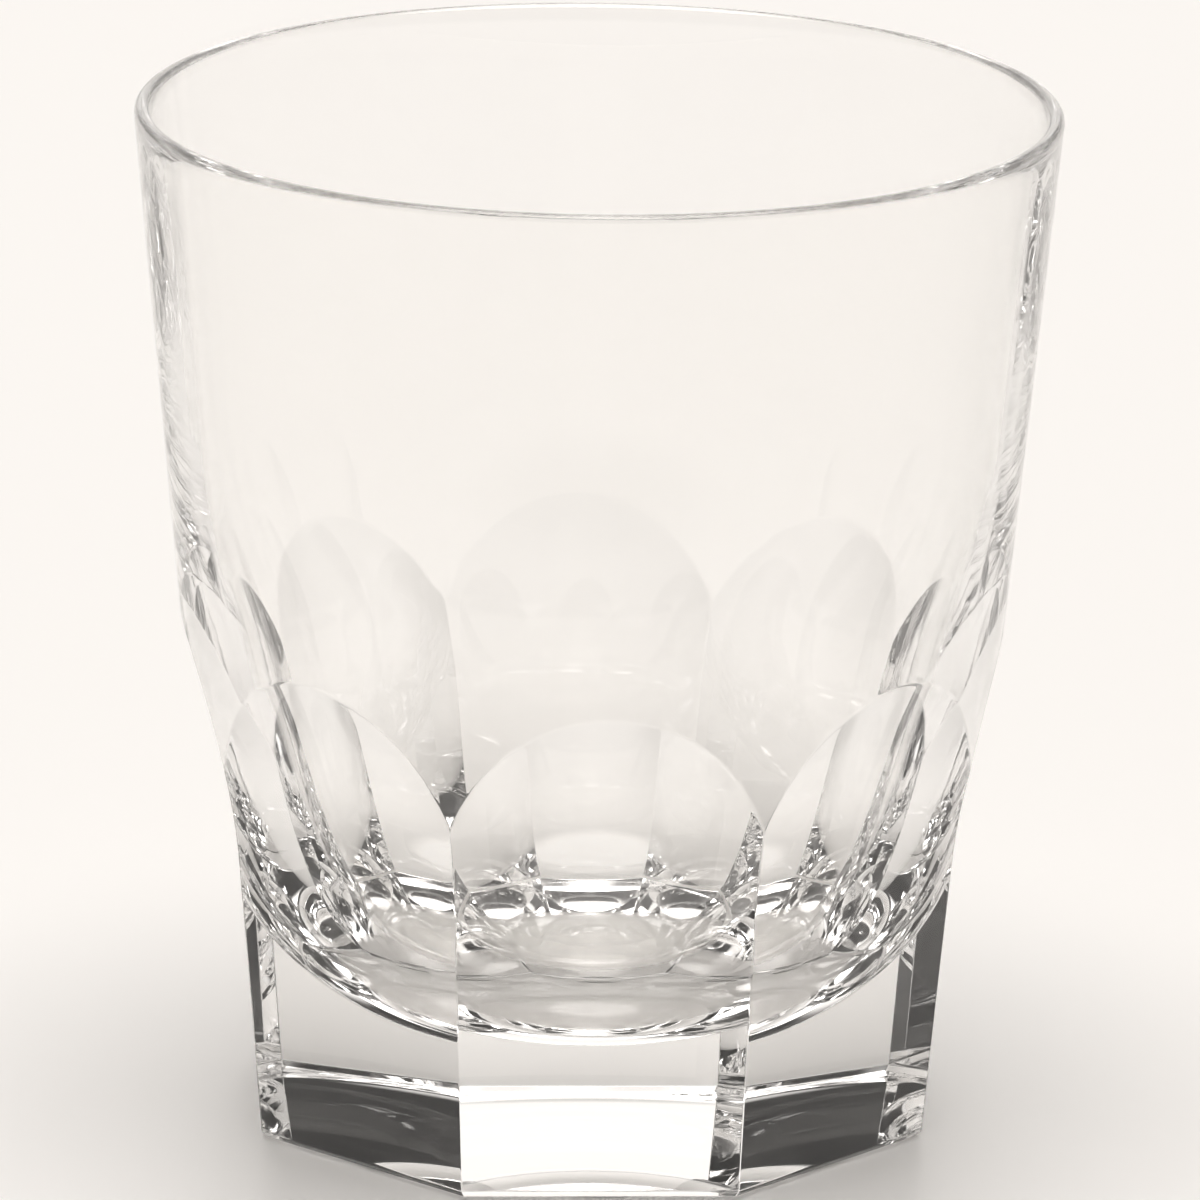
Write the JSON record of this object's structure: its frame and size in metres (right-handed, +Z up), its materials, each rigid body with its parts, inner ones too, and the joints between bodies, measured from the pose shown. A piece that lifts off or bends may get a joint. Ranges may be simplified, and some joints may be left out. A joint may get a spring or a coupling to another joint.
{
  "type": "whiskey tumbler",
  "caption": "Heavy-based crystal whiskey tumbler: a round flared cup with a fire-polished lip, cut with tall arched panels above a thick faceted solid base.",
  "frame": {"origin": "centre of the base, on the surface that the tumbler stands on", "axes": "+Z up along the axis of the turned cup; -Y is square to one of the cut panels"},
  "size_m": [0.09, 0.09, 0.1005],
  "materials": {
    "lead_crystal": "polished clear lead crystal, colourless with a faint warm cast"
  },
  "bodies": {
    "root": {"tumbler_glass": "lead_crystal"}
  },
  "joints": []
}
